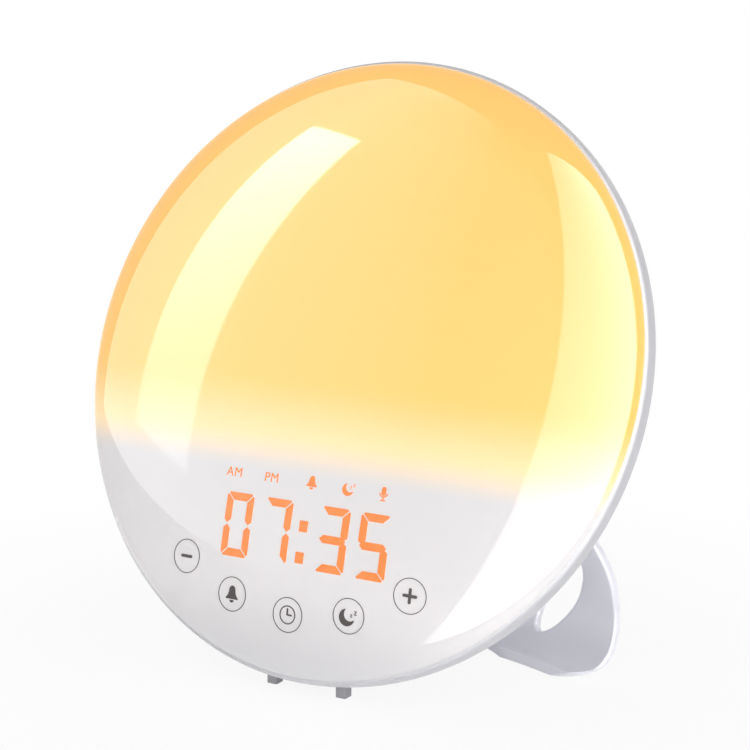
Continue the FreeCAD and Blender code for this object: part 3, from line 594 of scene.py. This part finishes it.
floor_white, tree, shader = start_material("table_white", Roughness=0.6)
shader.inputs["Base Color"].default_value = linear("#F4F4F6")
where = add_node(tree, "ShaderNodeTexCoord").outputs["Object"]
away = add_node(tree, "ShaderNodeVectorMath", {0: where}, operation="LENGTH").outputs["Value"]
whiter = add_node(tree, "ShaderNodeMapRange", {
    "Value": away, "From Min": SHADOW_REACH[0], "From Max": SHADOW_REACH[1], "To Min": FLOOR_NEAR_WHITE,
    "To Max": 1.0}, interpolation_type="SMOOTHSTEP")
seen = add_node(tree, "ShaderNodeMath", {0: seen_directly(tree), 1: whiter.outputs["Result"]},
                operation="MULTIPLY")
white = add_node(tree, "ShaderNodeEmission", {"Color": linear("#FFFFFF"), "Strength": 1.0})
mix = add_node(tree, "ShaderNodeMixShader", {"Fac": seen.outputs["Value"]})
tree.links.new(shader.outputs["BSDF"], mix.inputs[1])
tree.links.new(white.outputs["Emission"], mix.inputs[2])
tree.links.new(mix.outputs["Shader"], tree.nodes["Material Output"].inputs["Surface"])
floor_mesh.materials.append(floor_white)
floor.visible_glossy = False

world = bpy.data.worlds.new("soft_room")
bpy.context.scene.world = world
world.use_nodes = True
tree = world.node_tree
room = add_node(tree, "ShaderNodeMix", {"Factor": seen_directly(tree), 6: ROOM_LIGHT, 7: linear("#FFFFFF")},
                data_type="RGBA")
tree.links.new(room.outputs[2], tree.nodes["Background"].inputs["Color"])


def upright_lamp(name, azimuths, elevations, radiance, distance=1.2):
    """An upright rectangular lamp that fills these directions as seen from the clock."""
    middle = math.radians(sum(azimuths) / 2)
    half = distance * math.tan(math.radians(azimuths[1] - azimuths[0]) / 2)
    foot, head = [distance * math.tan(math.radians(e)) for e in elevations]
    light = bpy.data.lights.new(name, "AREA")
    light.shape = "RECTANGLE"
    light.size = 2 * half
    light.size_y = head - foot
    light.energy = math.pi * light.size * light.size_y * radiance
    lamp = bpy.data.objects.new(name, light)
    bpy.context.collection.objects.link(lamp)
    way = Vector((math.sin(middle), -math.cos(middle), 0))
    lamp.location = SEAM_CENTRE + way * distance + Vector((0, 0, (head + foot) / 2))
    lamp.rotation_euler = way.to_track_quat("Z", "Y").to_euler()
    return lamp


def reflected_card(name, azimuths, elevations, radiance, across, upward):
    """A lamp that is only seen in reflections; across and upward shade it from (place, share) stops."""
    lamp = upright_lamp(name, azimuths, elevations, radiance)
    lamp.visible_diffuse = False
    lamp.data.use_nodes = True
    tree = lamp.data.node_tree
    spot = add_node(tree, "ShaderNodeNewGeometry").outputs["Parametric"]
    axes = add_node(tree, "ShaderNodeSeparateXYZ", {"Vector": spot})
    shares = []
    for axis, stops in (("X", across), ("Y", upward)):
        greys = [(position, (share, share, share, 1)) for position, share in stops]
        share_node = add_node(tree, "ShaderNodeValToRGB", {"Fac": axes.outputs[axis]}, greys)
        shares.append(share_node.outputs["Color"])
    both = add_node(tree, "ShaderNodeMath", {0: shares[0], 1: shares[1]}, operation="MULTIPLY")
    tree.links.new(both.outputs["Value"], tree.nodes["Emission"].inputs["Strength"])


key = upright_lamp("key_lamp", azimuths=(-30, 30), elevations=(12, 55), radiance=0.30)
key.visible_glossy = False
side = upright_lamp("side_lamp", azimuths=(42, 80), elevations=(-4, 28), radiance=2.3)
side.visible_glossy = False
reflected_card("left_band", azimuths=(-57.5, -46), elevations=(9, 43), radiance=12.0,
               across=((0.0, 1.0), (1.0, 1.0)), upward=((0.0, 0.15), (0.9, 1.0)))
reflected_card("left_veil", azimuths=(-78, -22), elevations=(2, 62), radiance=3.0,
               across=((0.0, 1.0), (0.45, 1.0), (0.95, 0.0)), upward=((0.0, 0.8), (1.0, 1.0)))
reflected_card("right_crescent", azimuths=(-5, 84), elevations=(-32, 72), radiance=11.5,
               across=((0.0, 0.33), (0.5, 0.9), (0.85, 1.0), (1.0, 0.0)), upward=((0.0, 1.0), (1.0, 0.9)))


# Camera: the photograph's own view, found from the outline of the face and the places of the keys.
# It is taken to stand level, with no roll.
CAMERA_AZIMUTH = math.radians(31.21)
CAMERA_ELEVATION = math.radians(11.05)
CAMERA_DISTANCE = 0.54213
CAMERA_SHIFT = (0.006856, -0.002660)
LENS_MM = 94.56
SENSOR_MM = 36
back_way = Vector((math.sin(CAMERA_AZIMUTH) * math.cos(CAMERA_ELEVATION),
                   -math.cos(CAMERA_AZIMUTH) * math.cos(CAMERA_ELEVATION), math.sin(CAMERA_ELEVATION)))
right_way = Vector((math.cos(CAMERA_AZIMUTH), math.sin(CAMERA_AZIMUTH), 0))
up_way = back_way.cross(right_way)
camera_data = bpy.data.cameras.new("photo_view")
camera_data.lens = LENS_MM
camera_data.sensor_width = SENSOR_MM
camera_data.clip_start = 0.02
camera = bpy.data.objects.new("photo_view", camera_data)
bpy.context.collection.objects.link(camera)
turn = Matrix((right_way, up_way, back_way)).transposed().to_4x4()
at = SEAM_CENTRE + back_way * CAMERA_DISTANCE + right_way * CAMERA_SHIFT[0] + up_way * CAMERA_SHIFT[1]
camera.matrix_world = Matrix.Translation(at) @ turn
bpy.context.scene.camera = camera
bpy.context.scene.view_settings.view_transform = "Standard"
